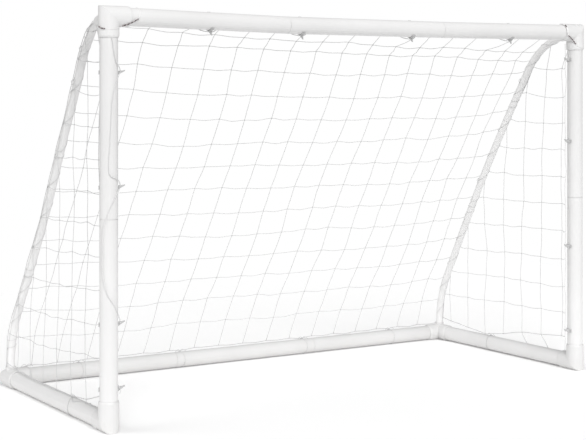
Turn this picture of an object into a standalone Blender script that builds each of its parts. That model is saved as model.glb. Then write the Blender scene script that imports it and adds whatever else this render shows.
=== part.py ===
"""A small garden soccer goal: a push-fit plastic tube frame with curved back stays and a net.

Everything is in metres with +Z up. The origin is on the ground in the middle of the goal's
footprint, the mouth faces -Y, and the posts stand at -X and +X.
"""

import math

import bmesh
import bpy
from mathutils import Vector

# Overall size, over the corner fittings
OVERALL_WIDTH = 1.8275
OVERALL_DEPTH = 0.8235
CROSSBAR_HEIGHT = 1.1705

# Main tube, stay tube and the sleeves that join their lengths
TUBE_RADIUS = 0.02625
TUBE_WALL = 0.0020
STAY_RADIUS = 0.0125
STAY_WALL = 0.0018
SLEEVE_GAP = 0.0005
SLEEVE_WALL = 0.0020
SLEEVE_HALF = 0.045
STAY_SLEEVE_HALF = 0.035
SEAM_GAP = 0.0008

# Corner fittings
FITTING_RADIUS = 0.0300
RIM_RADIUS = 0.0282
RIM_LENGTH = 0.005
SOCKET_RADIUS = 0.02675
CHANNEL_RADIUS = 0.0220
SOCKET_STOP = 0.0300
TUBE_START = 0.0305
POST_REACH = 0.060
BAR_REACH = 0.062
FOOT_FLAT = 0.0016

# Sockets for the stays, on the top and rear corners
STUB_RADIUS = 0.0170
STUB_ROOT = 0.0250
STUB_BORE = 0.0129
STUB_STOP = 0.0275
TOP_STUB_REACH = 0.066
REAR_STUB_REACH = 0.036

# Bends of the stay, and how far the net pulls it inwards
STAY_DIP = math.radians(10)
TOP_BEND = 0.25
LOW_BEND = 0.35
STAY_BOW = 0.020
STRAIGHT_END = 0.070
STAY_START = 0.0285
STAY_PIECES = 3

# The left stay also leans inwards near its top: how far, and where the lean begins and fades
LEFT_LEAN = 0.013
LEAN_TOP = (0.085, 0.190)
LEAN_FOOT = (0.260, 0.620)

# The crossbar hangs a little at its two seams
CROSSBAR_DROPS = (0.008, 0.006)
SOCKET_PIVOT = 0.050

# Net clips: a C that grips the tube, with a fin that holds the net
CLIP_GAP = 0.0004
CLIP_WALL = 0.0022
CLIP_HALF = 0.0055
CLIP_REACH = (-6, 6, 24, 42, 60, 78, 96, 114, 132, 150, 165)
POST_CLIP_LIP = (-20,)
POST_CLIP_FIN = 0.021
CROSSBAR_CLIP_LIP = (-42, -24)
CROSSBAR_CLIP_FIN = 0.013
LEFT_POST_CLIPS = (0.120, 0.303, 0.688, 1.012)
RIGHT_POST_CLIPS = (0.137, 0.430, 0.794, 1.076)
CROSSBAR_CLIPS = (-0.560, -0.243, 0.174, 0.588)

# Corner ties: the arm each point lies on, its distance along it and its angle round it,
# from the arm's outer side towards the front
TIE_RADIUS = 0.0016
TIE_SLACK = 0.0013
LEFT_TIE = (
    ("bar", 0.098, 0),
    ("bar", 0.098, 30),
    ("bar", 0.098, 60),
    ("bar", 0.095, 88),
    ("bar", 0.078, 104),
    ("bar", 0.061, 122),
    ("bar", 0.042, 143),
    ("bar", 0.034, 180),
    ("bar", 0.042, 220),
    ("bar", 0.062, 260),
    ("bar", 0.074, 280),
    ("bar", 0.086, 300),
    ("bar", 0.095, 330),
)
RIGHT_TIE = (
    ("bar", 0.038, 0),
    ("bar", 0.035, 40),
    ("bar", 0.029, 75),
    ("bar", 0.022, 108),
    ("post", 0.026, 106),
    ("post", 0.036, 83),
    ("post", 0.043, 50),
    ("post", 0.046, 15),
    ("post", 0.046, -20),
    ("post", 0.045, -55),
    ("post", 0.040, -90),
    ("post", 0.033, -120),
    ("bar", 0.030, 226),
    ("bar", 0.034, 248),
    ("bar", 0.037, 275),
    ("bar", 0.038, 315),
)

# The net
NET_THICKNESS = 0.0008
NET_INSET = 0.022
NET_ROWS = 14
NET_COLUMNS = (0, 0.05, 0.16, 0.5, 0.84, 0.95, 1)
NET_BELLY = 0.056

SIDES = 24
STAY_SIDES = 16

POST_X = (OVERALL_WIDTH - 2 * FITTING_RADIUS) / 2
POST_Y = -(OVERALL_DEPTH - 2 * FITTING_RADIUS) / 2
REAR_Y = -POST_Y
DEPTH = REAR_Y - POST_Y
BASE_Z = FITTING_RADIUS - FOOT_FLAT
TOP_Z = CROSSBAR_HEIGHT
SIDE_NAMES = (("left", -1), ("right", 1))

X = Vector((1, 0, 0))
Y = Vector((0, 1, 0))
Z = Vector((0, 0, 1))


def clear_scene():
    for old in list(bpy.data.objects):
        bpy.data.objects.remove(old, do_unlink=True)


def plastic(name, colour, roughness):
    made = bpy.data.materials.new(name)
    made.use_nodes = True
    shader = made.node_tree.nodes["Principled BSDF"]
    shader.inputs["Base Color"].default_value = (*colour, 1)
    shader.inputs["Roughness"].default_value = roughness
    shader.inputs["Metallic"].default_value = 0
    return made


def mesh_object(name, points, faces, material):
    """A closed object from points and faces, its faces turned outwards."""
    mesh = bpy.data.meshes.new(name)
    shape = bmesh.new()
    corners = [shape.verts.new(p) for p in points]
    for face in faces:
        shape.faces.new([corners[i] for i in face])
    bmesh.ops.recalc_face_normals(shape, faces=shape.faces)
    shape.to_mesh(mesh)
    shape.free()
    mesh.shade_smooth()
    mesh.set_sharp_from_angle(angle=math.radians(32))
    mesh.materials.append(material)
    made = bpy.data.objects.new(name, mesh)
    bpy.context.scene.collection.objects.link(made)
    return made


def ring(centre, across, up, radius, sides):
    turns = [2 * math.pi * i / sides for i in range(sides)]
    return [centre + radius * (math.cos(a) * across + math.sin(a) * up) for a in turns]


def skin(rings, hollow):
    """Points and faces through the rings. A hollow skin closes on its first ring, else the ends get caps."""
    sides = len(rings[0])
    points = [p for one in rings for p in one]
    count = len(rings)
    faces = []
    for i in range(count if hollow else count - 1):
        a, b = i * sides, (i + 1) % count * sides
        for j in range(sides):
            k = (j + 1) % sides
            faces.append((a + j, a + k, b + k, b + j))
    if not hollow:
        faces.append(tuple(range(sides)))
        faces.append(tuple(range((count - 1) * sides, count * sides)))
    return points, faces


def path_rings(path, radius, sides):
    """Rings square to a path, turned as little as possible from one to the next."""
    rings = []
    heading = (path[1] - path[0]).normalized()
    across = X if abs(heading.x) < 0.9 else Y
    for i, point in enumerate(path):
        before = path[max(i - 1, 0)]
        after = path[min(i + 1, len(path) - 1)]
        heading = (after - before).normalized()
        across = (across - across.dot(heading) * heading).normalized()
        rings.append(ring(point, across, heading.cross(across), radius, sides))
    return rings


def tube(name, path, radius, wall, sides, material):
    outside = path_rings(path, radius, sides)
    inside = path_rings(path, radius - wall, sides)
    points, faces = skin(outside + inside[::-1], hollow=True)
    return mesh_object(name, points, faces, material)


def rod(name, start, end, radius, sides, material):
    points, faces = skin(path_rings([start, end], radius, sides), hollow=False)
    return mesh_object(name, points, faces, material)


def elbow(name, corner, arm_a, reach_a, arm_b, reach_b, material):
    """A mitred hollow elbow with a socket in each arm."""
    normal = arm_a.cross(arm_b)

    def on_a(distance, radius):
        return ring(corner + distance * arm_a, normal, arm_b, radius, SIDES)

    def on_b(distance, radius):
        return ring(corner + distance * arm_b, normal, arm_a, radius, SIDES)

    def mitre(radius):
        return ring(corner, normal, arm_a + arm_b, radius, SIDES)

    rings = [
        on_a(reach_a, RIM_RADIUS),
        on_a(reach_a - RIM_LENGTH, FITTING_RADIUS),
        mitre(FITTING_RADIUS),
        on_b(reach_b - RIM_LENGTH, FITTING_RADIUS),
        on_b(reach_b, RIM_RADIUS),
        on_b(reach_b, SOCKET_RADIUS),
        on_b(SOCKET_STOP, SOCKET_RADIUS),
        on_b(SOCKET_STOP, CHANNEL_RADIUS),
        mitre(CHANNEL_RADIUS),
        on_a(SOCKET_STOP, CHANNEL_RADIUS),
        on_a(SOCKET_STOP, SOCKET_RADIUS),
        on_a(reach_a, SOCKET_RADIUS),
    ]
    for one in rings:
        for point in one:
            point.z = max(point.z, 0)
    points, faces = skin(rings, hollow=True)
    return mesh_object(name, points, faces, material)


def combine(target, helper, operation):
    """Joins a helper to the target or cuts it out, and hides the helper."""
    helper.hide_render = True
    helper.display_type = "WIRE"
    change = target.modifiers.new(helper.name, "BOOLEAN")
    change.operation = operation
    change.object = helper


def add_stub(fitting, corner, heading, reach, material):
    """A socket for a stay, standing out of a fitting's corner."""
    name = fitting.name
    stub = rod(name + "_stub", corner + STUB_ROOT * heading, corner + reach * heading,
               STUB_RADIUS, STAY_SIDES, material)
    bore = rod(name + "_bore", corner + STUB_STOP * heading, corner + (reach + 0.01) * heading,
               STUB_BORE, STAY_SIDES, material)
    combine(fitting, stub, "UNION")
    combine(fitting, bore, "DIFFERENCE")


def post_corner(side, height):
    return Vector((side * POST_X, POST_Y, height))


def rear_corner(side):
    return Vector((side * POST_X, REAR_Y, BASE_Z))


def add_fittings(material):
    """The six corners, each an elbow. The top and rear ones have a socket for a stay too."""
    for word, side in SIDE_NAMES:
        inwards = -side * X
        top = elbow(f"top_corner_{word}", post_corner(side, TOP_Z), inwards, BAR_REACH,
                    -Z, POST_REACH, material)
        dip = math.cos(STAY_DIP) * Y - math.sin(STAY_DIP) * Z
        add_stub(top, post_corner(side, TOP_Z), dip, TOP_STUB_REACH, material)
        elbow(f"front_base_corner_{word}", post_corner(side, BASE_Z), Z, POST_REACH,
              Y, BAR_REACH, material)
        rear = elbow(f"rear_base_corner_{word}", rear_corner(side), -Y, BAR_REACH,
                     inwards, BAR_REACH, material)
        add_stub(rear, rear_corner(side), Z, REAR_STUB_REACH, material)


def seam(start, end, share):
    return start + share * (end - start)


def add_run(names, knots, sleeve_names, material):
    """Tubes end to end through the knots, with a sleeve inside each seam."""
    for i, name in enumerate(names):
        start, end = knots[i], knots[i + 1]
        heading = (end - start).normalized()
        first = start + (SEAM_GAP / 2 * heading if i else Vector())
        last = end - (SEAM_GAP / 2 * heading if i < len(names) - 1 else Vector())
        tube(name, [first, last], TUBE_RADIUS, TUBE_WALL, SIDES, material)
    for i, name in enumerate(sleeve_names):
        middle = knots[i + 1]
        heading = (knots[i + 2] - middle).normalized() + (middle - knots[i]).normalized()
        half = SLEEVE_HALF * heading.normalized()
        outer = TUBE_RADIUS - TUBE_WALL - SLEEVE_GAP
        tube(name, [middle - half, middle + half], outer, SLEEVE_WALL, SIDES, material)


def add_posts(material):
    for word, side in SIDE_NAMES:
        low = post_corner(side, BASE_Z + TUBE_START)
        high = post_corner(side, TOP_Z - TUBE_START)
        add_run([f"{word}_post_lower", f"{word}_post_upper"], [low, seam(low, high, 0.5), high],
                [f"{word}_post_sleeve"], material)


def crossbar_knots():
    """The ends of the three crossbar tubes. The outer two pivot a little in their sockets."""
    left = Vector((SOCKET_PIVOT - POST_X, POST_Y, TOP_Z))
    right = Vector((POST_X - SOCKET_PIVOT, POST_Y, TOP_Z))
    first = Vector((-POST_X / 3, POST_Y, TOP_Z - CROSSBAR_DROPS[0]))
    second = Vector((POST_X / 3, POST_Y, TOP_Z - CROSSBAR_DROPS[1]))
    inside = SOCKET_PIVOT - TUBE_START
    left -= inside * (first - left).normalized()
    right -= inside * (second - right).normalized()
    return [left, first, second, right]


def crossbar_point(x):
    """The point of the crossbar's centre line at that x."""
    knots = crossbar_knots()
    for start, end in zip(knots, knots[1:]):
        if x <= end.x:
            return seam(start, end, (x - start.x) / (end.x - start.x))
    return knots[-1]


def add_bars(material):
    add_run(["crossbar_left", "crossbar_middle", "crossbar_right"], crossbar_knots(),
            ["crossbar_sleeve_left", "crossbar_sleeve_right"], material)
    left = rear_corner(-1) + TUBE_START * X
    right = rear_corner(1) - TUBE_START * X
    knots = [left, seam(left, right, 1 / 3), seam(left, right, 2 / 3), right]
    add_run(["rear_bar_left", "rear_bar_middle", "rear_bar_right"], knots,
            ["rear_bar_sleeve_left", "rear_bar_sleeve_right"], material)
    for word, side in SIDE_NAMES:
        front = post_corner(side, BASE_Z) + TUBE_START * Y
        back = rear_corner(side) - TUBE_START * Y
        add_run([f"{word}_side_bar"], [front, back], [], material)


def stay_slope():
    """The angle below level of the stay's straight middle, which joins its two bends."""
    slope = math.radians(60)
    for _ in range(30):
        start_y = TOP_STUB_REACH * math.cos(STAY_DIP)
        start_z = TOP_Z - TOP_STUB_REACH * math.sin(STAY_DIP)
        start_y += TOP_BEND * (math.sin(slope) - math.sin(STAY_DIP))
        start_z -= TOP_BEND * (math.cos(STAY_DIP) - math.cos(slope))
        end_y = DEPTH - LOW_BEND * (1 - math.sin(slope))
        end_z = BASE_Z + REAR_STUB_REACH + LOW_BEND * math.cos(slope)
        slope = math.atan2(start_z - end_z, end_y - start_y)
    return slope, math.hypot(start_z - end_z, end_y - start_y)


STAY_SLOPE, STAY_STRAIGHT = stay_slope()
STAY_STRETCHES = (
    TOP_STUB_REACH,
    TOP_BEND * (STAY_SLOPE - STAY_DIP),
    STAY_STRAIGHT,
    LOW_BEND * (math.pi / 2 - STAY_SLOPE),
    REAR_STUB_REACH,
)
STAY_LENGTH = sum(STAY_STRETCHES)


def stay_profile(along):
    """How far behind the post and how high the stay's centre is, at a distance along it."""
    y, z, angle = 0.0, TOP_Z, STAY_DIP
    radii = (None, TOP_BEND, None, LOW_BEND, None)
    for stretch, radius in zip(STAY_STRETCHES, radii):
        step = min(max(along, 0), stretch)
        if radius:
            turned = angle + step / radius
            y += radius * (math.sin(turned) - math.sin(angle))
            z -= radius * (math.cos(angle) - math.cos(turned))
            angle = turned
        else:
            y += step * math.cos(angle)
            z -= step * math.sin(angle)
        along -= stretch
    return y, z, angle


def ease(value, start, end):
    """A smooth step from 0 at the start to 1 at the end."""
    share = min(max((value - start) / (end - start), 0), 1)
    return share * share * (3 - 2 * share)


def stay_bow(side, along):
    """How far inwards the net's pull bows the stay there."""
    share = (along - STRAIGHT_END) / (STAY_LENGTH - 2 * STRAIGHT_END)
    share = min(max(share, 0), 1)
    bow = STAY_BOW * math.sin(math.pi * share) ** 1.5
    if side < 0:
        bow += LEFT_LEAN * ease(along, *LEAN_TOP) * (1 - ease(along, *LEAN_FOOT))
    return bow


def stay_point(side, along):
    y, z, _ = stay_profile(along)
    return Vector((side * (POST_X - stay_bow(side, along)), POST_Y + y, z))


def stay_path(side, start, end, steps):
    return [stay_point(side, start + (end - start) * i / steps) for i in range(steps + 1)]


def add_stays(material):
    """Each stay is three tubes: a bent top, a nearly straight middle and a bent foot."""
    length = (STAY_LENGTH - 2 * STAY_START) / STAY_PIECES
    for word, side in SIDE_NAMES:
        for i, (part, steps) in enumerate((("top", 14), ("middle", 5), ("foot", 11))):
            start = STAY_START + i * length + (SEAM_GAP / 2 if i else 0)
            end = STAY_START + (i + 1) * length - (SEAM_GAP / 2 if i < STAY_PIECES - 1 else 0)
            tube(f"{word}_stay_{part}", stay_path(side, start, end, steps),
                 STAY_RADIUS, STAY_WALL, STAY_SIDES, material)
        for i, part in enumerate(("upper", "lower")):
            middle = STAY_START + (i + 1) * length
            path = stay_path(side, middle - STAY_SLEEVE_HALF, middle + STAY_SLEEVE_HALF, 3)
            tube(f"{word}_stay_sleeve_{part}", path, STAY_RADIUS - STAY_WALL - SLEEVE_GAP,
                 SLEEVE_WALL, STAY_SIDES, material)


def add_clip(name, centre, axis, hook, behind, lip, reach, material):
    """A clip round a tube: hook is the way its fin points, and its C reaches round behind."""
    inner = TUBE_RADIUS + CLIP_GAP
    outer = inner + CLIP_WALL
    angles = [math.radians(a) for a in (*lip, *CLIP_REACH)]
    base = len(lip)
    points = []
    for radius in (inner, outer):
        for angle in angles:
            spoke = radius * (math.cos(angle) * hook + math.sin(angle) * behind)
            points += [spoke - CLIP_HALF * axis, spoke + CLIP_HALF * axis]
    for out, half, low, high in ((0.6, 0.0017, 0.001, 0.0062), (1.0, 0.0011, 0.0048, 0.0082)):
        for across in (-half, half):
            spoke = (outer + out * reach) * hook + across * behind
            points += [spoke + low * axis, spoke + high * axis]
    count = len(angles)

    def pair(layer, i):
        first = 2 * (layer * count + i)
        return first, first + 1

    faces = []
    for i in range(count - 1):
        in_a, in_b, out_a, out_b = pair(0, i), pair(0, i + 1), pair(1, i), pair(1, i + 1)
        faces.append((in_a[0], in_b[0], in_b[1], in_a[1]))
        faces.append((in_a[0], out_a[0], out_b[0], in_b[0]))
        faces.append((in_a[1], in_b[1], out_b[1], out_a[1]))
        if i != base:
            faces.append((out_a[0], out_a[1], out_b[1], out_b[0]))
    for i in (0, count - 1):
        faces.append((*pair(0, i), *pair(1, i)[::-1]))
    fin = [(pair(1, base), pair(1, base + 1)), (pair(2, 0), pair(2, 1)), (pair(2, 2), pair(2, 3))]
    for (near_a, near_b), (far_a, far_b) in zip(fin, fin[1:]):
        faces.append((near_a[0], far_a[0], far_b[0], near_b[0]))
        faces.append((near_a[1], near_b[1], far_b[1], far_a[1]))
        faces.append((near_a[0], near_a[1], far_a[1], far_a[0]))
        faces.append((near_b[0], far_b[0], far_b[1], near_b[1]))
    tip_a, tip_b = fin[-1]
    faces.append((tip_a[0], tip_a[1], tip_b[1], tip_b[0]))
    made = mesh_object(name, points, faces, material)
    made.location = centre
    return made


def add_clips(material):
    for (word, side), heights in zip(SIDE_NAMES, (LEFT_POST_CLIPS, RIGHT_POST_CLIPS)):
        for i, height in enumerate(heights, 1):
            add_clip(f"{word}_post_clip_{i}", post_corner(side, height), Z, -side * X, Y,
                     POST_CLIP_LIP, POST_CLIP_FIN, material)
    for i, x in enumerate(CROSSBAR_CLIPS, 1):
        add_clip(f"crossbar_clip_{i}", crossbar_point(x), X, -Z, Y,
                 CROSSBAR_CLIP_LIP, CROSSBAR_CLIP_FIN, material)


def tie_point(side, arm, along, degrees):
    """A point of a tie, lying on the top corner's arm or on the tube beyond the arm's end."""
    share = min(max((along - BAR_REACH - 0.004) / 0.014, 0), 1)
    radius = FITTING_RADIUS + share * (TUBE_RADIUS - FITTING_RADIUS) + TIE_RADIUS + TIE_SLACK
    angle = math.radians(degrees)
    inwards = -side * X
    heading, outer = (inwards, Z) if arm == "bar" else (-Z, -inwards)
    spoke = radius * (math.cos(angle) * outer - math.sin(angle) * Y)
    return post_corner(side, TOP_Z) + along * heading + spoke


def closed_curve(points, steps):
    """A smooth closed path through the points."""
    path = []
    count = len(points)
    for i in range(count):
        a, b, c, d = (points[(i + k) % count] for k in (-1, 0, 1, 2))
        for step in range(steps):
            t = step / steps
            path.append(0.5 * (2 * b + (c - a) * t + (2 * a - 5 * b + 4 * c - d) * t * t
                               + (3 * b - a - 3 * c + d) * t * t * t))
    return path


def add_ties(material):
    """A dark cord ties the net to each top corner."""
    for (word, side), route in zip(SIDE_NAMES, (LEFT_TIE, RIGHT_TIE)):
        path = closed_curve([tie_point(side, *step) for step in route], 3)
        middle = sum(path, Vector()) / len(path)
        rings = []
        for i, point in enumerate(path):
            heading = (path[(i + 1) % len(path)] - path[i - 1]).normalized()
            outwards = point - middle
            outwards = (outwards - outwards.dot(heading) * heading).normalized()
            rings.append(ring(point, outwards, heading.cross(outwards), TIE_RADIUS, 6))
        points, faces = skin(rings, hollow=True)
        mesh_object(f"corner_tie_{word}", points, faces, material)


def ribbon(name, rows, material):
    """A closed sheet through rows of points. Each entry is a row and the sheet's normal there."""
    points, faces = [], []
    for row, normal in rows:
        shift = NET_THICKNESS / 2 * normal
        for place in row:
            points += [place - shift, place + shift]
    wide = 2 * len(rows[0][0])
    for i in range(len(rows) - 1):
        low, high = i * wide, (i + 1) * wide
        for j in range(0, wide - 2, 2):
            faces.append((low + j, low + j + 2, high + j + 2, high + j))
            faces.append((low + j + 1, high + j + 1, high + j + 3, low + j + 3))
        faces.append((low, high, high + 1, low + 1))
        faces.append((low + wide - 2, low + wide - 1, high + wide - 1, high + wide - 2))
    for i in (0, (len(rows) - 1) * wide):
        for j in range(0, wide - 2, 2):
            faces.append((i + j, i + j + 1, i + j + 3, i + j + 2))
    return mesh_object(name, points, faces, material)


def belly(down, up, share):
    """How far the slack back panel lies inside the stays: none at any of its edges."""
    wide = 1 - abs(2 * share - 1) ** 5
    return NET_BELLY * wide * (1 - math.exp(-down / 0.09)) * (1 - math.exp(-up / 0.104))


def add_net(material):
    """The net as three plain thin panels: the back, which follows the stays, and the two sides."""
    start, end = 0.040, STAY_LENGTH - REAR_STUB_REACH
    back = []
    for i in range(NET_ROWS + 1):
        along = start + (end - start) * i / NET_ROWS
        _, _, angle = stay_profile(along)
        left = stay_point(-1, along) + NET_INSET * X
        right = stay_point(1, along) - NET_INSET * X
        normal = math.sin(angle) * Y + math.cos(angle) * Z
        row = [seam(left, right, share) - belly(along - start, end - along, share) * Y
               for share in NET_COLUMNS]
        back.append((row, normal))
    ribbon("back_net", back, material)
    front = POST_Y + FITTING_RADIUS + 0.005
    for word, side in SIDE_NAMES:
        panel = []
        for i in range(NET_ROWS + 1):
            along = 0.105 + (end - 0.105) * i / NET_ROWS
            _, _, angle = stay_profile(along)
            edge = stay_point(side, along) - NET_INSET * (math.sin(angle) * Y + math.cos(angle) * Z)
            post = Vector((side * POST_X, front, edge.z))
            panel.append(([post, edge], X))
        ribbon(f"{word}_side_net", panel, material)


def main():
    clear_scene()
    tube_plastic = plastic("tube_plastic", (0.82, 0.81, 0.80), 0.35)
    fitting_plastic = plastic("fitting_plastic", (0.84, 0.83, 0.82), 0.32)
    clip_plastic = plastic("clip_plastic", (0.60, 0.60, 0.60), 0.45)
    net_cord = plastic("net_cord", (0.85, 0.85, 0.85), 0.80)
    tie_cord = plastic("tie_cord", (0.06, 0.045, 0.05), 0.85)
    add_fittings(fitting_plastic)
    add_posts(tube_plastic)
    add_bars(tube_plastic)
    add_stays(tube_plastic)
    add_clips(clip_plastic)
    add_ties(tie_cord)
    add_net(net_cord)


main()
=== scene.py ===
"""The looks of a small garden soccer goal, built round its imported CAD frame.

The CAD tubes, fittings and clips stay and get plastic materials. The three plain net panels are
replaced by a knotted square mesh of twisted cord, with its border cords, lacing and ground ties,
and the two plain corner ties by a cord that is dark and thick in front and light and thin behind.

Lengths are in metres and angles in degrees. The goal's mouth faces -Y and its net lies behind.
"""

import math
import random

import bpy
import numpy as np
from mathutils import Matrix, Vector, noise


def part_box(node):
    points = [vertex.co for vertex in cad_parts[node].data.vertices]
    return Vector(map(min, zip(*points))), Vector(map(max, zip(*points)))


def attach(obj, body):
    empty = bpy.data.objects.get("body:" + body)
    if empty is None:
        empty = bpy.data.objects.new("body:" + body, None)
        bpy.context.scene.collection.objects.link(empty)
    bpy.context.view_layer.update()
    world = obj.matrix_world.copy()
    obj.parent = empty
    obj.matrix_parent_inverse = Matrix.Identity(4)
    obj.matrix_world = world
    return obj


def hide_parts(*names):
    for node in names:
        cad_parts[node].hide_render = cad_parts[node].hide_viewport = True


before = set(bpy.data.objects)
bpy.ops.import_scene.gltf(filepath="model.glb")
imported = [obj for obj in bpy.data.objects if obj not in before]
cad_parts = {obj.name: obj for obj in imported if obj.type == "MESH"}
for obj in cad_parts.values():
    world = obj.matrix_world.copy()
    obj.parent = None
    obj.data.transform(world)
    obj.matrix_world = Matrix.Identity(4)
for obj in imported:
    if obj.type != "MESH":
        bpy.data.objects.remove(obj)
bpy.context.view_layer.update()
random.seed(7)
noise.seed_set(7)

X = Vector((1, 0, 0))
Y = Vector((0, 1, 0))
Z = Vector((0, 0, 1))
SIDES = (("left", -1), ("right", 1))

# Radii of the cords
NET_CORD = 0.00085
BORDER_CORD = 0.0012
LACING_CORD = 0.0008
TIE_CORD = 0.0016
LIGHT_CORD = 0.0008

# The back net: its cells across, its rows, and how far down the stays its rows lie
CELLS_ACROSS = 18
ROWS = 15
FIRST_ROW = 0.077
ROW_PITCH = 0.0948
BOTTOM_ROW = FIRST_ROW + (ROWS - 1) * ROW_PITCH

# How far the back net bellies inwards and hangs, and over what distance from its bottom row and
# from the crossbar the belly grows. Down to BAR_FOLLOW the net follows the crossbar's sag.
BACK_DEPTH = 0.056
BACK_SAG = 0.014
BELLY_FROM_LOW = 0.104
BELLY_FROM_HIGH = 0.09
BAR_FOLLOW = 1.3 * FIRST_ROW

# How much lower than evenly spaced the back net's top rows hang: at the left, middle and right
ROW_DROPS = (
    (0.015, 0.041, 0.055),
    (0.015, 0.030, 0.048),
    (0.005, 0.028, 0.018),
    (-0.004, 0.024, 0.010),
    (-0.005, 0.015, -0.004),
    (0.0, 0.008, -0.016),
    (0.0, 0.003, -0.005),
)

# The back net's columns lie left of even ones, by these shares of its width: a shift that fades
# away from the left edge, and a hump with its place and breadth
EDGE_SHIFT = 0.009
HUMP_SHIFT = 0.010
HUMP_PLACE = 0.12
HUMP_BREADTH = 0.07

# The side nets: height of their lowest row at the post, rows' pitch, and for each side the
# first column's distance from the post and the columns' pitch
SIDE_LOW = 0.104
SIDE_PITCH = 0.0943
SIDE_ROWS = 11
SIDE_COLUMNS = {"left": (0.053, 0.104), "right": (0.024, 0.1125)}

# How much higher each side row ends at the stay than at the post, counted from a level row, and
# its limits; the rows above HANGING_ROW hang a little between the two
ROW_TILT = 0.005
LEVEL_ROW = 6
TILT_LIMITS = (-0.022, 0.010)
HANGING_ROW = 7
ROW_HANG = 0.010

# These columns of the side nets go on down to the side bar
LONG_COLUMNS = (1, 2)

# The side nets' loose bottom edge: distance from the post and height
SIDE_BOTTOM = {
    "left": ((0.79, 0.078), (0.60, 0.062), (0.45, 0.058), (0.30, 0.057), (0.175, 0.058),
             (0.11, 0.083), (0.0, 0.102)),
    "right": ((0.79, 0.083), (0.60, 0.068), (0.44, 0.0575), (0.36, 0.075), (0.267, 0.096),
              (0.13, 0.106), (0.0, 0.118)),
}

# The nets' unevenness: how far a cord hangs between two knots, the broad shift of its knots,
# and the random shifts of the back net's knots, the side nets' knots and the cords between them
SLACK = 0.004
KNOT_WOBBLE = 0.010
BACK_JITTER = 0.0016
SIDE_JITTER = 0.0014
CORD_JITTER = 0.0007

# How big a mesh knot is
KNOT = 1.5 * NET_CORD

# Where the net's bottom edge is tied to the ground bars: along the rear bar, and along the side
# bars with each tie's lean
REAR_TIES = (-0.830, -0.645, -0.262, 0.245, 0.641)
REAR_TIE_LEAN = 0.006
SIDE_TIES = {"left": ((-0.128, 0.024),), "right": ((0.069, 0.006),)}

# Heights of the lacing's knots on each stay, and the side of the stay that they lie on
STAY_KNOTS = {"left": (1.142, 1.092, 0.995), "right": (1.012, 0.642)}
KNOT_SIDE = Vector((-0.85, 0.53, 0))

# Where a loose tail of the left side net's cord wanders along its ground bar: how far along
# and its angle from the top
LEFT_TAIL = ((-0.140, 12), (-0.155, 30), (-0.172, 38), (-0.190, 22), (-0.215, 2), (-0.235, 14),
             (-0.250, -4), (-0.268, 8), (-0.292, -2))

# The border cords' distances: from the right post's axis to the cord in its clips' hooks, from
# the left post's surface to the cord behind it, and from the crossbar's surface to its cord
HOOK_REACH = 0.0415
BEHIND_POST = 0.004
BEHIND_BAR = 0.0055

# How far the crossbar's border cord turns round under the bar at a clip, and over what length
CLIP_DIP = 92
DIP_LENGTH = 0.05

# The border cords start at this height, end this far below the crossbar's axis and have this
# many stretches
BORDER_FOOT = 0.07
BORDER_ENDS = {"left": 0.07, "right": 0.04}
BORDER_STRETCHES = 24

# How bright the studio is, as shares of white
SKY = 0.32
KEY = 0.78
FILL = 0.36
OVERHEAD = 0.06
FLOOR_GLOW = 0.05
FLOOR_WHITE = 0.97
FLOOR_HALF = (3, 2.5)

# The camera: its sensor and lens in millimetres, its shifts, its place from the middle of the
# goal's mouth, its height and how far it looks to the right
SENSOR = 36
LENS = 86.58
SHIFTS = (-0.0022, -0.1993)
CAMERA_LEFT = 2.5454
CAMERA_AWAY = 3.6362
CAMERA_HEIGHT = 0.9257
CAMERA_TURN = 32.06


def centre(node):
    low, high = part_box(node)
    return (Vector(low) + Vector(high)) / 2


post = centre("right_post_lower")
POST_X, POST_Y = post.x, post.y
rear = centre("rear_bar_middle")
REAR_Y, BASE_Z = rear.y, rear.z
tube_low, tube_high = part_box("left_side_bar")
TUBE_RADIUS = (tube_high[2] - tube_low[2]) / 2
fitting_low, fitting_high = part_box("front_base_corner_left")
FITTING_RADIUS = (fitting_high[0] - fitting_low[0]) / 2
top_corner_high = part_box("top_corner_left")[1]
TOP_Z = top_corner_high[2] - FITTING_RADIUS
ARM_REACH = top_corner_high[0] + POST_X
BAR_SAG = TOP_Z - centre("crossbar_middle").z
STAY_RADIUS = 0.0125
WRAP = STAY_RADIUS + 2 * NET_CORD


# ---------------------------------------------------------------- materials

BLACK = (0, 0, 0)
SCUFF_COLOUR = (0.55, 0.54, 0.52)
SCUFF_SHARE = 0.16
# A blotchy darkening of the plastic towards the floor: its colour, its share and the height below which
# it begins
LOW_DARKENING_COLOUR = (0.60, 0.58, 0.55)
LOW_DARKENING_SHARE = (0.35, 0.35, 0.35)
LOW_DARKENING_HEIGHT = 0.05


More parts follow.
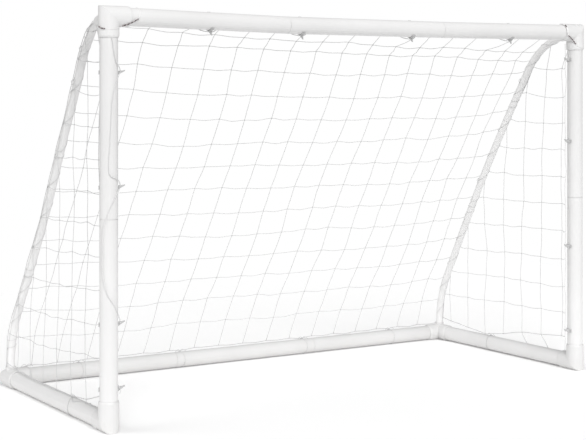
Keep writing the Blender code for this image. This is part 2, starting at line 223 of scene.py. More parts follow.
class Nodes:
    """A short way to wire a material's nodes."""

    def __init__(self, name):
        self.material = bpy.data.materials.new(name)
        self.material.use_nodes = True
        self.tree = self.material.node_tree
        self.shader = self.tree.nodes["Principled BSDF"]

    def add(self, kind, inputs=(), **settings):
        node = self.tree.nodes.new(kind)
        for key, value in settings.items():
            setattr(node, key, value)
        for key, value in dict(inputs).items():
            if isinstance(value, bpy.types.NodeSocket):
                self.tree.links.new(value, node.inputs[key])
            else:
                node.inputs[key].default_value = value
        return node

    def link(self, output, socket):
        self.tree.links.new(output, self.shader.inputs[socket])

    def coordinates(self, kind):
        return self.add("ShaderNodeTexCoord").outputs[kind]

    def noise(self, scale, detail=3, roughness=0.55, stretch=(1, 1, 1)):
        place = self.add("ShaderNodeMapping", {"Vector": self.coordinates("Object"),
                                               "Scale": stretch}).outputs["Vector"]
        made = self.add("ShaderNodeTexNoise", {"Vector": place, "Scale": scale,
                                               "Detail": detail, "Roughness": roughness})
        return made.outputs["Fac"]

    def maths(self, operation, *values):
        inputs = dict(enumerate(values))
        return self.add("ShaderNodeMath", inputs, operation=operation).outputs[0]

    def ramp(self, factor, stops):
        node = self.add("ShaderNodeValToRGB", {"Fac": factor})
        elements = node.color_ramp.elements
        for element, (place, value) in zip(elements, stops):
            element.position = place
            element.color = (value, value, value, 1)
        return node.outputs["Color"]

    def mix(self, factor, a, b):
        node = self.add("ShaderNodeMix", data_type="RGBA")
        for socket, value in ((node.inputs[0], factor), (node.inputs[6], a), (node.inputs[7], b)):
            if isinstance(value, bpy.types.NodeSocket):
                self.tree.links.new(value, socket)
            else:
                socket.default_value = value if isinstance(value, (int, float)) else (*value, 1)
        return node.outputs[2]

    def bump(self, height, strength, distance, below=None):
        inputs = {"Height": height, "Strength": strength, "Distance": distance}
        if below is not None:
            inputs["Normal"] = below
        return self.add("ShaderNodeBump", inputs).outputs["Normal"]


def moulded_plastic(name, colour, roughness, grain, stretch=(1, 1, 1)):
    """White plastic with soft uneven tone, a faint grain along the tube, scuffs, and a blotchy darkening
    towards the floor.
    """
    n = Nodes(name)
    broad = n.noise(3.5, 2)
    fine = n.noise(60, 4, 0.6, stretch)
    dark = tuple(0.95 * c for c in colour)
    tone = n.mix(n.ramp(broad, ((0.35, 0.0), (0.65, 1.0))), dark, colour)
    scuffs = n.ramp(n.noise(34, 6, 0.72, (1, 1, 2.3)), ((0.66, 0.0), (0.74, 1.0)))
    tone = n.mix(n.mix(SCUFF_SHARE, BLACK, scuffs), tone, SCUFF_COLOUR)
    # Below a set height the plastic turns blotchily darker, the more so towards the floor.
    height = n.add("ShaderNodeSeparateXYZ", {"Vector": n.coordinates("Object")}).outputs["Z"]
    low = n.ramp(height, ((0.0, 1.0), (LOW_DARKENING_HEIGHT, 0.0)))
    low_darkening = n.mix(n.mix(low, BLACK, n.noise(25, 5)), BLACK, LOW_DARKENING_SHARE)
    n.link(n.mix(low_darkening, tone, LOW_DARKENING_COLOUR), "Base Color")
    gloss = n.ramp(n.noise(9, 4, 0.6, stretch), ((0.3, roughness - 0.07), (0.7, roughness + 0.09)))
    n.link(gloss, "Roughness")
    coarse = n.bump(n.noise(7, 2), 0.25, 0.0015)
    n.link(n.bump(fine, grain, 0.0002, coarse), "Normal")
    return n.material


def twisted_cord(name, light, dark, pitch, dark_strand=None, strands=3):
    """Twisted cord with painted shade in its grooves. The piece's UV map runs once round it and, in
    metres, along it.
    """
    n = Nodes(name)
    uv = n.add("ShaderNodeSeparateXYZ", {"Vector": n.coordinates("UV")})
    around = n.maths("MULTIPLY", uv.outputs["X"], float(strands))
    along = n.maths("MULTIPLY", uv.outputs["Y"], strands / pitch)
    phase = n.maths("ADD", around, along)
    wave = n.maths("SINE", n.maths("MULTIPLY", phase, 2 * math.pi))
    rise = n.maths("MULTIPLY_ADD", wave, 0.5, 0.5)
    # Painted shade: the grooves between the strands are coloured darker, towards the dark tone.
    tone = n.mix(n.ramp(rise, ((0.0, 0.0), (0.5, 1.0))), dark, light)
    if dark_strand:
        share = n.maths("FRACT", n.maths("MULTIPLY", phase, 1.0 / strands))
        tone = n.mix(n.ramp(share, ((0.62, 0.0), (0.66, 1.0))), tone, dark_strand)
    fuzz = n.noise(900, 3, 0.7)
    tone = n.mix(n.mix(0.25, BLACK, fuzz), tone, dark)
    n.link(tone, "Base Color")
    n.link(n.ramp(fuzz, ((0.3, 0.72), (0.7, 0.92))), "Roughness")
    n.link(n.bump(rise, 0.8, 0.0004, n.bump(fuzz, 0.4, 0.0002)), "Normal")
    n.shader.inputs["Sheen Weight"].default_value = 0.15
    return n.material


# The plastics are white or pale grey, and a tube's grain runs along it
ALONG_X, ALONG_Y, ALONG_Z = (0.06, 1, 1), (1, 0.06, 1), (1, 1, 0.06)
# The frame is one white plastic. The tones below differ by part as painted light and shade, and the
# posts and side bars are a little darker than the crossbar.
TUBE_X = moulded_plastic("tube_along_x", (0.780, 0.776, 0.774), 0.36, 0.35, ALONG_X)
TUBE_Y = moulded_plastic("tube_along_y", (0.750, 0.746, 0.744), 0.36, 0.35, ALONG_Y)
TUBE_Z = moulded_plastic("tube_along_z", (0.755, 0.751, 0.749), 0.36, 0.35, ALONG_Z)
# Painted shade: the rear bar is given a darker tone than the other tubes.
SHADED_GROUND_TUBE = moulded_plastic("ground_tube_painted_shade", (0.680, 0.677, 0.674), 0.40, 0.35, ALONG_X)
# Painted light: the stays are given a lighter tone than the other tubes.
STAY = moulded_plastic("stay_tube_painted_light", (0.830, 0.826, 0.824), 0.38, 0.35)
FITTING = moulded_plastic("moulded_fitting", (0.780, 0.777, 0.775), 0.33, 0.5)
# Painted shade: the ground fittings are given a darker tone than the top fittings.
SHADED_BASE_FITTING = moulded_plastic("ground_fitting_painted_shade", (0.705, 0.702, 0.700), 0.36, 0.5)
SLEEVE = moulded_plastic("inner_sleeve", (0.62, 0.62, 0.62), 0.5, 0.5)
CLIP = moulded_plastic("net_clip", (0.50, 0.50, 0.50), 0.42, 0.5)
# Each cord's second colour is its painted shade in the grooves between strands. It is also the tone that
# its fuzz darkens towards.
NET = twisted_cord("net_cord", (0.70, 0.70, 0.70), (0.54, 0.54, 0.54), 0.006)
BORDER = twisted_cord("border_cord", (0.78, 0.78, 0.78), (0.62, 0.62, 0.62), 0.008)
LIGHT_TIE = twisted_cord("light_tie_cord", (0.92, 0.91, 0.91), (0.82, 0.81, 0.81), 0.008)
DARK_TIE = twisted_cord("dark_tie_cord", (0.070, 0.030, 0.036), (0.016, 0.010, 0.012), 0.011,
                        (0.55, 0.50, 0.50))

# A CAD part's plastic goes by the first of these words that its name holds
PLASTICS = (("sleeve", SLEEVE), ("clip", CLIP), ("base_corner", SHADED_BASE_FITTING),
            ("top_corner", FITTING), ("stay", STAY), ("post", TUBE_Z), ("side_bar", TUBE_Y),
            ("rear_bar", SHADED_GROUND_TUBE), ("", TUBE_X))


def paint_frame():
    for name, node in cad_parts.items():
        node.data.materials.clear()
        node.data.materials.append(next(plastic for word, plastic in PLASTICS if word in name))


# ---------------------------------------------------------------- cords


def curve_through(points, steps):
    """A smooth path through the points, with so many steps between each two."""
    last = len(points) - 1
    path = []
    for i in range(last):
        a, b, c, d = (points[min(max(i + k, 0), last)] for k in (-1, 0, 1, 2))
        for step in range(steps):
            t = step / steps
            path.append(0.5 * (2 * b + (c - a) * t + (2 * a - 5 * b + 4 * c - d) * t * t
                               + (3 * b - a - 3 * c + d) * t * t * t))
    path.append(points[-1])
    return path


class CordMesh:
    """Many cords in one mesh, each a closed tube with a UV map round it and along it."""

    def __init__(self):
        self.points, self.faces, self.uvs = [], [], []

    def add(self, path, radius, sides=5, closed=False):
        count = len(path)
        first = len(self.points)
        heading = (path[1] - path[0]).normalized()
        across = heading.orthogonal().normalized()
        along = 0.0
        marks = []
        for i, point in enumerate(path):
            before = path[i - 1] if i or closed else path[0]
            after = path[(i + 1) % count] if i + 1 < count or closed else path[-1]
            heading = (after - before).normalized()
            across = (across - across.dot(heading) * heading).normalized()
            up = heading.cross(across)
            for j in range(sides):
                angle = 2 * math.pi * j / sides
                self.points.append(point + radius * (math.cos(angle) * across + math.sin(angle) * up))
            marks.append(along)
            along += (path[(i + 1) % count] - point).length
        for i in range(count if closed else count - 1):
            a, b = first + i * sides, first + (i + 1) % count * sides
            low = marks[i]
            high = marks[i + 1] if i + 1 < count else along
            for j in range(sides):
                k = (j + 1) % sides
                self.faces.append((a + j, a + k, b + k, b + j))
                self.uvs += [(j / sides, low), ((j + 1) / sides, low),
                             ((j + 1) / sides, high), (j / sides, high)]
        if not closed:
            for start, order in ((first, range(sides - 1, -1, -1)),
                                 (first + (count - 1) * sides, range(sides))):
                self.faces.append(tuple(start + j for j in order))
                self.uvs += [(0.5, 0.0)] * sides

    def knot(self, place, size, cord):
        """A small overhand knot: one and a half tight turns of the cord about a point."""
        tilt = Vector([random.uniform(-1, 1) for _ in range(3)]).normalized()
        side = tilt.orthogonal().normalized()
        other = tilt.cross(side)
        rise = 1.6 * cord
        steps = 10
        path = []
        for i in range(steps + 1):
            angle = 3 * math.pi * i / steps
            lift = (i / steps - 0.5) * rise
            path.append(place + size * (math.cos(angle) * side + math.sin(angle) * other) + lift * tilt)
        self.add(path, cord)

    def finish(self, name, material, slot):
        mesh = bpy.data.meshes.new(name)
        mesh.from_pydata([tuple(p) for p in self.points], [], self.faces)
        layer = mesh.uv_layers.new(name="cord")
        layer.data.foreach_set("uv", np.array(self.uvs, np.float32).ravel())
        mesh.shade_smooth()
        mesh.materials.append(material)
        made = bpy.data.objects.new(name, mesh)
        bpy.context.scene.collection.objects.link(made)
        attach(made, "frame")
        return made


def wobble(point, size, scale=3.1):
    """A smooth uneven shift, the same each run."""
    return size * noise.noise_vector(point * scale + Vector((3.7, 1.9, 8.3)))


def jitter(size):
    """A random shift."""
    return Vector([random.gauss(0, size) for _ in range(3)])


def sagging(points, sag):
    """The points with one more between each two, hanging a little below them."""
    path = [points[0]]
    for a, b in zip(points, points[1:]):
        level = 1 - abs((b - a).normalized().z)
        drop = random.uniform(0.4, 1.2) * sag * level
        path += [(a + b) / 2 - drop * Z + jitter(CORD_JITTER), b]
    return path


# ---------------------------------------------------------------- the stays

# A vertex of the back panel is on its side edge within EDGE_BAND of a post's axis, in one row
# with others within ROW_GAP, and the edge lies NET_INSET inside the stay's centre line
EDGE_BAND = 0.06
ROW_GAP = 0.02
NET_INSET = 0.022


def panel_edge(side):
    """Points of the plain back panel's side edge from the top down, the mean of each row's."""
    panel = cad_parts["back_net"]
    points = [panel.matrix_world @ vertex.co for vertex in panel.data.vertices]
    rows = []
    for p in sorted(points, key=lambda p: -p.z):
        if p.x * side <= POST_X - EDGE_BAND:
            continue
        if rows and (rows[-1][-1] - p).length < ROW_GAP:
            rows[-1].append(p)
        else:
            rows.append([p])
    return [sum(row, Vector()) / len(row) for row in rows]


class Stay:
    """A stay's centre line by the distance along it from the post."""

    def __init__(self, side):
        line = [Vector((side * POST_X, POST_Y, TOP_Z))]
        line += [p + side * NET_INSET * X for p in panel_edge(side)]
        line.append(Vector((side * POST_X, REAR_Y, BASE_Z)))
        line[1].x = side * POST_X
        self.line = curve_through(line, 8)
        self.marks = [0.0]
        for a, b in zip(self.line, self.line[1:]):
            self.marks.append(self.marks[-1] + (b - a).length)

    def at(self, along):
        along = min(max(along, 0), self.marks[-1])
        i = int(np.searchsorted(self.marks, along, side="right")) - 1
        i = min(i, len(self.line) - 2)
        span = self.marks[i + 1] - self.marks[i]
        share = (along - self.marks[i]) / span if span else 0
        return self.line[i].lerp(self.line[i + 1], share)

    def heading(self, along):
        return (self.at(along + 0.01) - self.at(along - 0.01)).normalized()

    def along_while(self, holds):
        """How far down the stay a test on its points holds, found by halving."""
        low, high = 0.0, self.marks[-1]
        for _ in range(30):
            middle = (low + high) / 2
            if holds(self.at(middle)):
                low = middle
            else:
                high = middle
        return low

    def along_at_height(self, z):
        return self.along_while(lambda point: point.z > z)

    def along_at_depth(self, y):
        return self.along_while(lambda point: point.y < y)


STAYS = {side: Stay(side) for _, side in SIDES}
STAY_LENGTH = STAYS[1].marks[-1]


# ---------------------------------------------------------------- the back net


def back_point(along, share):
    """A point of the back net: along is measured down the stays and share from left to right."""
    left, right = STAYS[-1].at(along), STAYS[1].at(along)
    heading = STAYS[1].heading(along)
    out = Vector((0, -heading.z, heading.y)).normalized()
    if out.y < 0:
        out = -out
    point = left.lerp(right, share) + WRAP * out
    inner = 1 - abs(2 * share - 1) ** 5
    low = 1 - math.exp(-max(BOTTOM_ROW - along, 0) / BELLY_FROM_LOW)
    high = 1 - math.exp(-along / BELLY_FROM_HIGH)
    point.y -= (BACK_DEPTH + WRAP) * inner * low * high
    point.z -= BACK_SAG * (1 - (2 * share - 1) ** 2) * min(point.z / 0.7, 1) * high * low
    if along < BAR_FOLLOW:
        point.z -= BAR_SAG * inner
    return point


def row_drops(row):
    return ROW_DROPS[row] if row < len(ROW_DROPS) else (0.0, 0.0, 0.0)


def row_end(row, side):
    """How far down its stay a row of the back net is tied."""
    stay = STAYS[side]
    drop = row_drops(row)[1 + side]
    return stay.along_at_height(stay.at(FIRST_ROW + row * ROW_PITCH).z - drop)


def column_share(column):
    """Where a column of the back net lies, as a share of its width from the left."""
    share = column / CELLS_ACROSS
    if column:
        hump = math.exp(-((share - HUMP_PLACE) / HUMP_BREADTH) ** 2)
        share -= EDGE_SHIFT * (1 - share) ** 4 + HUMP_SHIFT * hump
    return share


def back_grid():
    """The back net's knots, row by row from the top and each row from the left."""
    grid = []
    for row in range(ROWS):
        left_end, right_end = row_end(row, -1), row_end(row, 1)
        left_drop, middle_drop, right_drop = row_drops(row)
        extra = middle_drop - (left_drop + right_drop) / 2
        line = []
        for column in range(CELLS_ACROSS + 1):
            share = column_share(column)
            point = back_point(left_end + (right_end - left_end) * share, share)
            point.z -= extra * 4 * share * (1 - share)
            loose = 1.0 if 0 < column < CELLS_ACROSS and row < ROWS - 1 else 0.2
            point += loose * (wobble(point, KNOT_WOBBLE) + jitter(BACK_JITTER))
            line.append(point)
        grid.append(line)
    return grid


def crossbar_axis(x):
    """The crossbar's centre line: level in its middle third and rising from there to its ends."""
    sag = BAR_SAG * min((POST_X - abs(x)) / (POST_X * 2 / 3), 1)
    return Vector((x, POST_Y, TOP_Z - sag))


def border_on_crossbar(x):
    """The border cord lies behind the crossbar and dips under it at each clip."""
    clips = [centre(name).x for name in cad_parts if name.startswith("crossbar_clip")]
    near = min(abs(x - clip) for clip in clips)
    turn = math.radians(CLIP_DIP) * max(0, 1 - near / DIP_LENGTH) ** 0.7
    spoke = math.cos(turn) * Y - math.sin(turn) * Z
    return crossbar_axis(x) + (TUBE_RADIUS + BEHIND_BAR) * spoke


def ground_tie(cords, middle, axis, bar_radius, lean):
    """A leaning loop of cord round a ground bar or a fitting, with a knot on its top."""
    across = axis.cross(Z)
    radius = bar_radius + 1.3 * NET_CORD
    steps = 28
    loop = []
    for i in range(steps):
        angle = 2 * math.pi * i / steps
        point = middle + radius * (math.cos(angle) * Z + math.sin(angle) * across)
        point.z = max(point.z, NET_CORD)
        loop.append(point + lean * math.sin(angle) * axis)
    cords.add(loop, NET_CORD, 6, closed=True)
    top = middle + (radius + NET_CORD) * Z
    cords.knot(top, 2.0 * NET_CORD, NET_CORD)
    for way in (-1, 1):
        tail = [top, top + 0.006 * Z + way * 0.006 * axis, top + 0.004 * Z + way * 0.014 * axis,
                top - 0.001 * Z + way * 0.021 * axis + 0.004 * across]
        cords.add(curve_through(tail, 4), NET_CORD, 6)


def make_back_net():
    cords = CordMesh()
    grid = back_grid()
    for line in grid:
        cord = BORDER_CORD if line is grid[-1] else NET_CORD
        cords.add(curve_through(sagging(line, SLACK), 3), cord)
    for column in range(1, CELLS_ACROSS):
        line = [row[column] for row in grid]
        line.insert(0, border_on_crossbar(line[0].x))
        cords.add(curve_through(sagging(line, SLACK), 3), NET_CORD)
    for line in grid:
        for point in line[1:-1]:
            cords.knot(point, KNOT, NET_CORD)
    reach = POST_X - 0.05
    steps = 160
    cords.add([border_on_crossbar(-reach + 2 * reach * i / steps) for i in range(steps + 1)],
              BORDER_CORD)
    for x in REAR_TIES:
        radius = FITTING_RADIUS if abs(x) > POST_X - ARM_REACH else TUBE_RADIUS
        ground_tie(cords, Vector((x, REAR_Y, BASE_Z)), X, radius, REAR_TIE_LEAN)
    made = cords.finish("back_net_cords", NET, "net_cord")
    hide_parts("back_net")


# ---------------------------------------------------------------- the side nets


def side_front(side, z):
    """Where a side panel's rows end: behind the left post, and on the right post's inner border cord."""
    if side < 0:
        return Vector((-POST_X + BEHIND_POST, POST_Y + TUBE_RADIUS + BEHIND_POST, z))
    return Vector((POST_X - HOOK_REACH, POST_Y + BEHIND_POST, z))


def bottom_height(word, distance):
    """The height of a side net's bottom edge at a distance from the post."""
    distances, heights = zip(*sorted(SIDE_BOTTOM[word]))
    return float(np.interp(distance, distances, heights))


def side_row(word, side, row):
    """One row of a side net: its end at the stay, its knots from the post on, and its front end.

    Row 0 is the loose bottom edge.
    """
    stay = STAYS[side]
    first, pitch = SIDE_COLUMNS[word]
    height = SIDE_LOW + row * SIDE_PITCH
    tilt = max(TILT_LIMITS[0], min(TILT_LIMITS[1], ROW_TILT * (row - LEVEL_ROW)))
    if row == 0:
        height = SIDE_BOTTOM[word][-1][1]
        tilt = SIDE_BOTTOM[word][0][1] - height
    hang = ROW_HANG if row > HANGING_ROW else 0.0
    loose = 1.0 if row else 0.15
    end = stay.at(stay.along_at_height(height + tilt)) + WRAP * side * X
    front = side_front(side, height)
    line = []
    away = first
    while POST_Y + away < end.y - 0.02:
        share = (POST_Y + away - front.y) / (end.y - front.y)
        point = front.lerp(end, share)
        point.z = height + tilt * share - hang * math.sin(math.pi * share)
        if row == 0:
            point.z = bottom_height(word, away)
        point += loose * wobble(point, KNOT_WOBBLE, 4.3)
        point += loose * jitter(SIDE_JITTER)
        line.append(point)
        away = first + len(line) * pitch
    return end, line, front


def side_column(side, column, grid):
    """One column of a side net from its stay down to the lowest row, or on to the side bar."""
    stay = STAYS[side]
    line = [points[column] for _, points, _ in reversed(grid) if column < len(points)]
    meet = stay.at(stay.along_at_depth(line[0].y)) + WRAP * side * X
    meet.z = max(meet.z, line[0].z + 0.01)
    line.insert(0, meet)
    if column in LONG_COLUMNS:
        foot = line[-1].copy()
        foot.x, foot.z = side * POST_X, BASE_Z + TUBE_RADIUS + NET_CORD
        line.append(foot)
    return line


def left_tail(cords):
    """The loose tail on the left ground bar, with a knot near its end."""
    tail = []
    for y, degrees in LEFT_TAIL:
        angle = math.radians(degrees)
        spoke = math.cos(angle) * Z - math.sin(angle) * X
        tail.append(Vector((-POST_X, y, BASE_Z)) + (TUBE_RADIUS + 1.3 * BORDER_CORD) * spoke)
    cords.add(curve_through(tail, 5), BORDER_CORD, 6)
    cords.knot(tail[-3], 1.6 * BORDER_CORD, BORDER_CORD)


def make_side_net(word, side):
    """A square mesh between a stay and a post, with the border cord along its stay."""
    cords = CordMesh()
    grid = [side_row(word, side, row) for row in range(SIDE_ROWS)]
    for row, (end, line, front) in enumerate(grid):
        cord, slack = (NET_CORD, SLACK) if row else (BORDER_CORD, 0.0)
        cords.add(curve_through(sagging([end, *reversed(line), front], slack), 3), cord)
        for point in line:
            cords.knot(point, KNOT, NET_CORD)
    for column in range(max(len(line) for _, line, _ in grid)):
        line = side_column(side, column, grid)
        cords.add(curve_through(sagging(line, 0.5 * SLACK), 3), NET_CORD)
    steps = 40
    edge = []
    for i in range(steps + 1):
        point = STAYS[side].at(FIRST_ROW + i * (BOTTOM_ROW - FIRST_ROW) / steps) + WRAP * side * X
        edge.append(point + wobble(point, 0.003, 12) + 0.002 * side * X)
    cords.add(curve_through(edge, 2), BORDER_CORD)
    for y, lean in SIDE_TIES[word]:
        ground_tie(cords, Vector((side * POST_X, y, BASE_Z)), Y, TUBE_RADIUS, lean)
    if side < 0:
        left_tail(cords)
    made = cords.finish(f"{word}_side_net_cords", NET, "net_cord")
    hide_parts(f"{word}_side_net")


# ---------------------------------------------------------------- lacing and border cords

# The lacing's ends, measured from the stay's, its turn per step and the step along the stay
# where its turns lie close and where they lie wide
LACING_TOP = 0.085
LACING_FOOT = 0.07
LACING_TURN = 0.3
CLOSE_STEP = 0.0012
WIDE_STEP = 0.0055

# The gap under the left post's border cord, at a clip and elsewhere
CLIP_GAP = 0.0045
POST_GAP = 0.0015
CLIP_NEAR = 0.028


def make_stay_lacing(word, side):
    """A cord wound unevenly round the stay, which laces the net's corner to it."""
    cords = CordMesh()
    stay = STAYS[side]
    radius = STAY_RADIUS + 1.1 * LACING_CORD
    path = []
    along, turn = LACING_TOP, 0.0
    while along < STAY_LENGTH - LACING_FOOT:
        up = stay.heading(along).cross(X).normalized()
        path.append(stay.at(along) + radius * (math.cos(turn) * X + math.sin(turn) * up))
        close = noise.noise(Vector((along * 11, side * 5.0, 0))) > 0.3
        turn += LACING_TURN
        along += CLOSE_STEP if close else WIDE_STEP
    cords.add(path, LACING_CORD)
    for z in STAY_KNOTS[word]:
        place = stay.at(stay.along_at_height(z)) + (STAY_RADIUS + BORDER_CORD) * KNOT_SIDE
        cords.knot(place, 2.6 * BORDER_CORD, BORDER_CORD)
        tail = [place, place + 0.006 * KNOT_SIDE - 0.004 * Z, place + 0.002 * KNOT_SIDE - 0.016 * Z]
        cords.add(curve_through(tail, 4), BORDER_CORD)
    cords.finish(f"{word}_stay_lacing", BORDER, "net_cord")


def post_clips(word):
    """The heights of a post's clips from the lowest up."""
    return sorted(centre(n).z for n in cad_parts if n.startswith(f"{word}_post_clip"))


def straight_border(word, side):
    """Points straight up a post along the front ends of its side net's rows."""
    rise = TOP_Z - BORDER_ENDS[word] - BORDER_FOOT
    heights = [BORDER_FOOT + rise * i / BORDER_STRETCHES for i in range(BORDER_STRETCHES + 1)]
    return [side_front(side, z) for z in heights]


def make_right_border():
    """The right post's border cord, straight through its clips' hooks with a knot at each."""
    cords = CordMesh()
    line = [point + Vector((random.gauss(0, 0.0009), random.gauss(0, 0.0012), 0))
            for point in straight_border("right", 1)]
    cords.add(curve_through(line, 4), BORDER_CORD, 6)
    for z in post_clips("right"):
        cords.knot(side_front(1, z), 2.2 * BORDER_CORD, BORDER_CORD)
    cords.finish("right_border_cord", BORDER, "net_cord")


def make_left_border():
    """The left post's border cords: one wanders over the post and its clips, one is behind it."""
    cords = CordMesh()
    clips = post_clips("left")
    # Heights and angles round the post, from its inner side towards the front
    route = [(TOP_Z - 0.062, 97), (1.048, 75), (1.028, 50), (clips[3], 16), (0.985, 66), (0.940, 93),
             (0.830, 105), (0.732, 112), (0.712, 62), (clips[2], 16), (0.662, 80), (0.600, 132),
             (0.558, 152), (0.451, 152), (0.420, 140), (0.392, 122), (0.372, 98), (0.335, 50),
             (clips[1], 14), (0.285, -30), (0.220, -50), (0.150, -30), (clips[0], 14), (0.110, 40)]
    path = []
    for z, degrees in route:
        angle = math.radians(degrees)
        near = min(abs(z - clip) for clip in clips)
        gap = CLIP_GAP if near < CLIP_NEAR else POST_GAP
        spoke = math.cos(angle) * X - math.sin(angle) * Y
        path.append(Vector((-POST_X, POST_Y, z)) + (TUBE_RADIUS + gap + BORDER_CORD) * spoke)
    least = TUBE_RADIUS + 1.1 * BORDER_CORD
    smooth = []
    for point in curve_through(path, 10):
        axis = Vector((-POST_X, POST_Y, point.z))
        out = point - axis
        smooth.append(axis + out.normalized() * max(out.length, least))
    cords.add(smooth, BORDER_CORD, 6)
    behind = [point + wobble(point, 0.003, 9) for point in straight_border("left", -1)]
    cords.add(behind, BORDER_CORD, 6)
    cords.finish("left_border_cord", BORDER, "net_cord")


# ---------------------------------------------------------------- the corner ties

# Each tie is a cord wound round both arms of its corner. A step is the arm it lies on, its
# distance along the arm and its angle round it, from the arm's outer side towards the front.
# The cord is dark over the first and third stretches and light over the second and last.
TIE_ROUTES = {
    "left": (
        (("bar", 0.0798, 102), ("bar", 0.069, 113), ("bar", 0.058, 125), ("bar", 0.050, 134),
         ("bar", 0.042, 143), ("bar", 0.034, 152)),
        (("bar", 0.034, 152), ("post", 0.029, 172), ("post", 0.031, 200), ("post", 0.032, 235),
         ("post", 0.030, 280), ("post", 0.028, 325), ("post", 0.0285, 350), ("post", 0.0292, 363)),
        (("post", 0.0292, 363), ("post", 0.0330, 377), ("post", 0.0352, 390), ("post", 0.0363, 405)),
        (("post", 0.0363, 405), ("post", 0.0375, 440), ("post", 0.036, 470), ("post", 0.032, 500),
         ("bar", 0.034, 172), ("bar", 0.042, 200), ("bar", 0.055, 240), ("bar", 0.068, 280),
         ("bar", 0.080, 320), ("bar", 0.086, 360), ("bar", 0.088, 400), ("bar", 0.086, 432),
         ("bar", 0.0798, 462)),
    ),
    "right": (
        (("bar", 0.0596, 109), ("bar", 0.0485, 121), ("bar", 0.0405, 130), ("bar", 0.0327, 140),
         ("post", 0.0360, 133), ("post", 0.0402, 127)),
        (("post", 0.0402, 127), ("post", 0.0488, 112), ("post", 0.053, 85), ("post", 0.054, 50),
         ("post", 0.053, 10), ("post", 0.050, -30), ("post", 0.046, -75), ("post", 0.040, -120),
         ("post", 0.034, -160), ("bar", 0.034, 195), ("bar", 0.042, 230), ("bar", 0.052, 270),
         ("bar", 0.060, 315), ("bar", 0.063, 360), ("bar", 0.063, 398)),
        (("bar", 0.063, 398), ("bar", 0.0632, 405), ("bar", 0.0634, 412), ("bar", 0.0636, 417)),
        (("bar", 0.0636, 417), ("bar", 0.0635, 435), ("bar", 0.0625, 455), ("bar", 0.0596, 469)),
    ),
}

# The cord comes down from the fitting onto the tube this far beyond the arm's end, over a length
STEP_START = 0.004
STEP_LENGTH = 0.014


def tie_point(side, arm, along, degrees, lift):
    """A point lifted off the corner's arm, or off the tube beyond the arm's end."""
    share = min(max((along - ARM_REACH - STEP_START) / STEP_LENGTH, 0), 1)
    radius = FITTING_RADIUS + share * (TUBE_RADIUS - FITTING_RADIUS) + lift
    angle = math.radians(degrees)
    inwards = -side * X
    heading, outer = (inwards, Z) if arm == "bar" else (-Z, -inwards)
    spoke = radius * (math.cos(angle) * outer - math.sin(angle) * Y)
    return Vector((side * POST_X, POST_Y, TOP_Z)) + along * heading + spoke


def make_corner_tie(word, side):
    dark, light = CordMesh(), CordMesh()
    kinds = ((dark, TIE_CORD, 1.2 * TIE_CORD), (light, LIGHT_CORD, 0.5 * LIGHT_CORD))
    for i, route in enumerate(TIE_ROUTES[word]):
        cords, cord, lift = kinds[i % 2]
        path = curve_through([tie_point(side, *step, lift) for step in route], 5)
        cords.add(path, cord, 8)
    start = tie_point(side, *TIE_ROUTES[word][0][0], TIE_CORD)
    light.knot(start, 1.4 * TIE_CORD, LIGHT_CORD)
    made = dark.finish(f"{word}_corner_tie_cord", DARK_TIE, "tie_cord")
    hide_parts(f"corner_tie_{word}")
    light.finish(f"{word}_corner_tie_tail", LIGHT_TIE, "tie_cord")


# ---------------------------------------------------------------- floor, light and camera


def make_stage():
    """A plain white floor, which glows a little so that its shadows stay pale."""
    mesh = bpy.data.meshes.new("floor")
    x, y = FLOOR_HALF
    mesh.from_pydata(((-x, -y, 0), (x, -y, 0), (x, y, 0), (-x, y, 0)), [], [(0, 1, 2, 3)])
    floor = bpy.data.objects.new("floor", mesh)
    bpy.context.scene.collection.objects.link(floor)
    n = Nodes("floor")
    n.shader.inputs["Base Color"].default_value = (FLOOR_WHITE, FLOOR_WHITE, FLOOR_WHITE, 1)
    n.shader.inputs["Roughness"].default_value = 0.9
    n.shader.inputs["Specular IOR Level"].default_value = 0.0
    n.shader.inputs["Emission Color"].default_value = (1, 1, 1, 1)
    n.shader.inputs["Emission Strength"].default_value = FLOOR_GLOW
    mesh.materials.append(n.material)


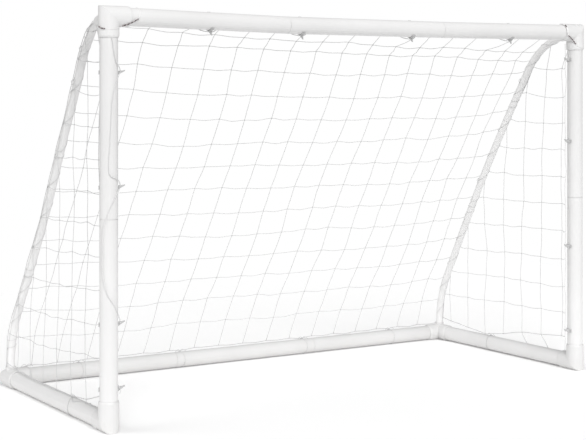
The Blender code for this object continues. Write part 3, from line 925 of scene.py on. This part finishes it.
def soft_sun(name, towards, strength, spread):
    """A very soft distant light; its strength is the share of white that it gives a facing surface."""
    data = bpy.data.lights.new(name, "SUN")
    data.energy = strength * math.pi
    data.angle = math.radians(spread)
    made = bpy.data.objects.new(name, data)
    bpy.context.scene.collection.objects.link(made)
    made.rotation_euler = Vector(towards).to_track_quat("Z", "Y").to_euler()


def make_light():
    """Three soft suns under a pale sky, which the camera itself sees as plain white."""
    world = bpy.data.worlds.new("studio")
    bpy.context.scene.world = world
    world.use_nodes = True
    tree = world.node_tree
    background = tree.nodes["Background"]
    background.inputs["Color"].default_value = (1, 1, 1, 1)
    background.inputs["Strength"].default_value = SKY
    seen = tree.nodes.new("ShaderNodeBackground")
    seen.inputs["Color"].default_value = (1, 1, 1, 1)
    seen.inputs["Strength"].default_value = 1.0
    path = tree.nodes.new("ShaderNodeLightPath")
    mixer = tree.nodes.new("ShaderNodeMixShader")
    tree.links.new(path.outputs["Is Camera Ray"], mixer.inputs["Fac"])
    tree.links.new(background.outputs[0], mixer.inputs[1])
    tree.links.new(seen.outputs[0], mixer.inputs[2])
    tree.links.new(mixer.outputs[0], tree.nodes["World Output"].inputs["Surface"])
    soft_sun("key", (-0.14, -0.82, 0.55), KEY, 45)
    soft_sun("fill", (-0.83, 0.25, 0.50), FILL, 50)
    soft_sun("overhead", (0.1, -0.2, 1), OVERHEAD, 90)


def make_camera():
    """A level camera, so that upright lines stay parallel."""
    data = bpy.data.cameras.new("camera")
    data.sensor_width = SENSOR
    data.lens = LENS
    data.shift_x, data.shift_y = SHIFTS
    made = bpy.data.objects.new("camera", data)
    bpy.context.scene.collection.objects.link(made)
    made.location = (-CAMERA_LEFT, POST_Y - CAMERA_AWAY, CAMERA_HEIGHT)
    made.rotation_euler = (math.radians(90), 0, math.radians(-CAMERA_TURN))
    bpy.context.scene.camera = made


paint_frame()
make_back_net()
for side_word, side_sign in SIDES:
    make_side_net(side_word, side_sign)
    make_stay_lacing(side_word, side_sign)
make_right_border()
make_left_border()
for side_word, side_sign in SIDES:
    make_corner_tie(side_word, side_sign)
make_stage()
make_light()
make_camera()
bpy.context.scene.view_settings.view_transform = "Standard"
